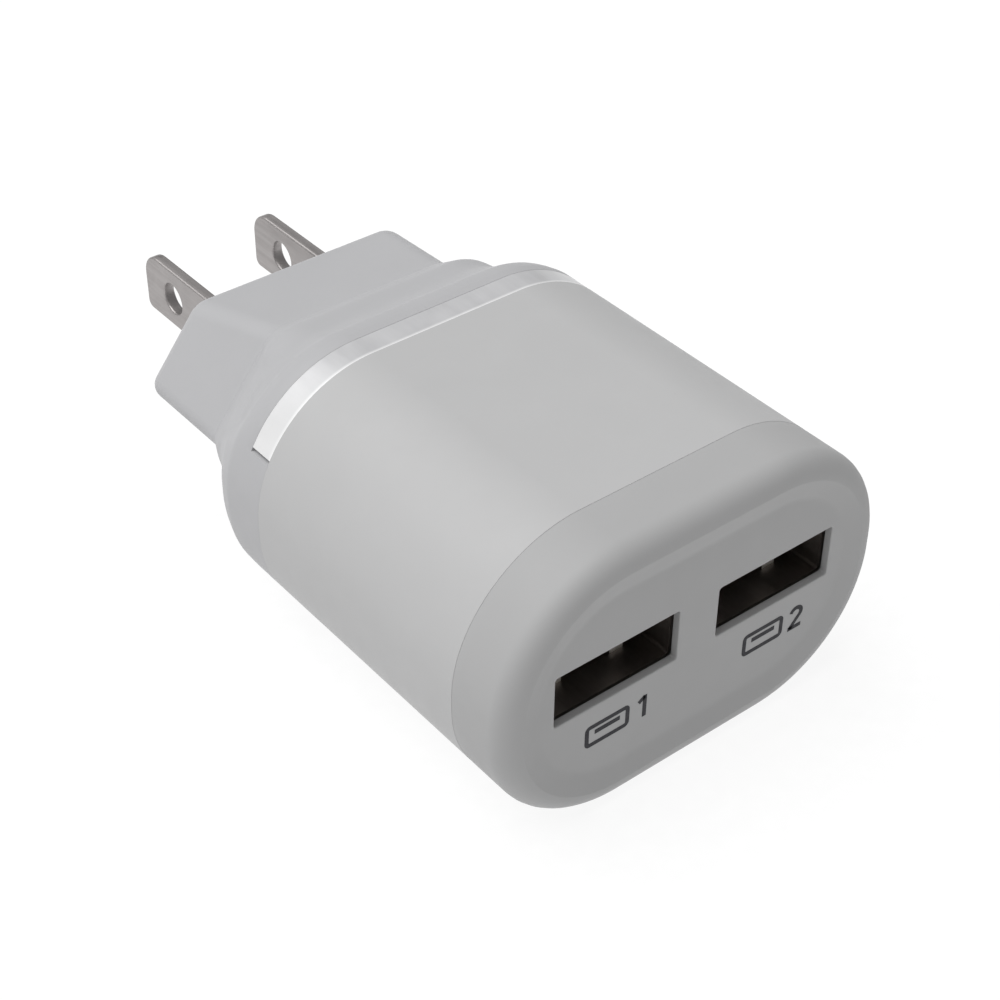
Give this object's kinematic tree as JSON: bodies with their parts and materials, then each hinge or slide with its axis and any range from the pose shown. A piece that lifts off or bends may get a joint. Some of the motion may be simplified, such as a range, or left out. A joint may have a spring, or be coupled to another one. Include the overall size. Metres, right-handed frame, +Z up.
{
  "type": "usb wall charger",
  "caption": "Wall charger with a rounded body, a stepped plug head with flat blades, and two USB-A sockets in a slightly recessed front face.",
  "frame": {"origin": "on the resting plane under the centre of the bounding box, with the charger lying on its broad side", "axes": "+Y from the socket face to the blade tips, +Z up through the broad side that carries the light strip, +X from socket 1 to socket 2"},
  "size_m": [0.0402, 0.0728, 0.0258],
  "materials": {
    "casing": "white moulded plastic, satin, very fine grain",
    "rear_casing": "white moulded plastic with a faint cool tint, satin",
    "cap_casing": "white moulded plastic, a shade darker than the sleeve, satin",
    "light_guide": "frosted translucent strip with a pearl sheen",
    "blade_metal": "nickel-plated, satin, brushed along the blade",
    "carrier_plastic": "off-white moulded insulator",
    "wire_black": "black insulated lead",
    "wire_red": "red insulated lead",
    "board_laminate": "green solder mask on glass-fibre laminate",
    "resistor_body": "pale blue lacquered resistor body",
    "black_moulding": "black moulded epoxy or insulator",
    "inductor_body": "dark sleeve over a ferrite bobbin",
    "blue_coating": "blue dipped coating",
    "input_can": "dark blue shrink sleeve over an aluminium can",
    "output_can": "green shrink sleeve over an aluminium can",
    "ferrite": "dark grey sintered ferrite",
    "bobbin_plastic": "black phenolic bobbin",
    "winding_tape": "yellow insulating tape over the winding",
    "indicator_lens": "clear epoxy over a pale phosphor",
    "socket_steel": "nickel-plated stamped sheet",
    "contact_gold": "gold-flashed spring strip",
    "contact_tin": "tin-plated end of the spring strip"
  },
  "bodies": {
    "charger": {"main_sleeve": "casing", "rear_shell": "rear_casing", "front_cap": "cap_casing", "light_guide": "light_guide", "blade_left": "blade_metal", "blade_right": "blade_metal", "blade_carrier": "carrier_plastic", "lead_wire_left": "wire_black", "lead_wire_right": "wire_red", "main_board": "board_laminate", "fusible_resistor": "resistor_body", "bridge_rectifier": "black_moulding", "switching_controller": "black_moulding", "output_rectifier": "black_moulding", "optocoupler": "black_moulding", "usb_1_tongue": "black_moulding", "usb_2_tongue": "black_moulding", "filter_inductor": "inductor_body", "y_capacitor": "blue_coating", "input_capacitor_1": "input_can", "input_capacitor_2": "input_can", "output_capacitor_1": "output_can", "output_capacitor_2": "output_can", "transformer_core": "ferrite", "transformer_bobbin": "bobbin_plastic", "transformer_winding": "winding_tape", "indicator_led": "indicator_lens", "usb_1_shell": "socket_steel", "usb_2_shell": "socket_steel", "usb_1_contact_tail_1": "contact_tin", "usb_1_contact_tail_2": "contact_tin", "usb_1_contact_tail_3": "contact_tin", "usb_1_contact_tail_4": "contact_tin", "usb_2_contact_tail_1": "contact_tin", "usb_2_contact_tail_2": "contact_tin", "usb_2_contact_tail_3": "contact_tin", "usb_2_contact_tail_4": "contact_tin"},
    "usb_1_contacts": {"usb_1_contact_leaf_1": "contact_gold", "usb_1_contact_leaf_2": "contact_gold", "usb_1_contact_leaf_3": "contact_gold", "usb_1_contact_leaf_4": "contact_gold"},
    "usb_2_contacts": {"usb_2_contact_leaf_1": "contact_gold", "usb_2_contact_leaf_2": "contact_gold", "usb_2_contact_leaf_3": "contact_gold", "usb_2_contact_leaf_4": "contact_gold"}
  },
  "joints": [
    {"name": "usb_1_contact_flex", "type": "hinge", "parent": "charger", "child": "usb_1_contacts", "pos_m": [-0.0084, -0.0223, 0.01462], "axis": [-1, 0, 0], "range_deg": [0, 3.5], "stiffness_Nm_per_rad": 0.3},
    {"name": "usb_2_contact_flex", "type": "hinge", "parent": "charger", "child": "usb_2_contacts", "pos_m": [0.0084, -0.0223, 0.01462], "axis": [-1, 0, 0], "range_deg": [0, 3.5], "stiffness_Nm_per_rad": 0.3}
  ]
}
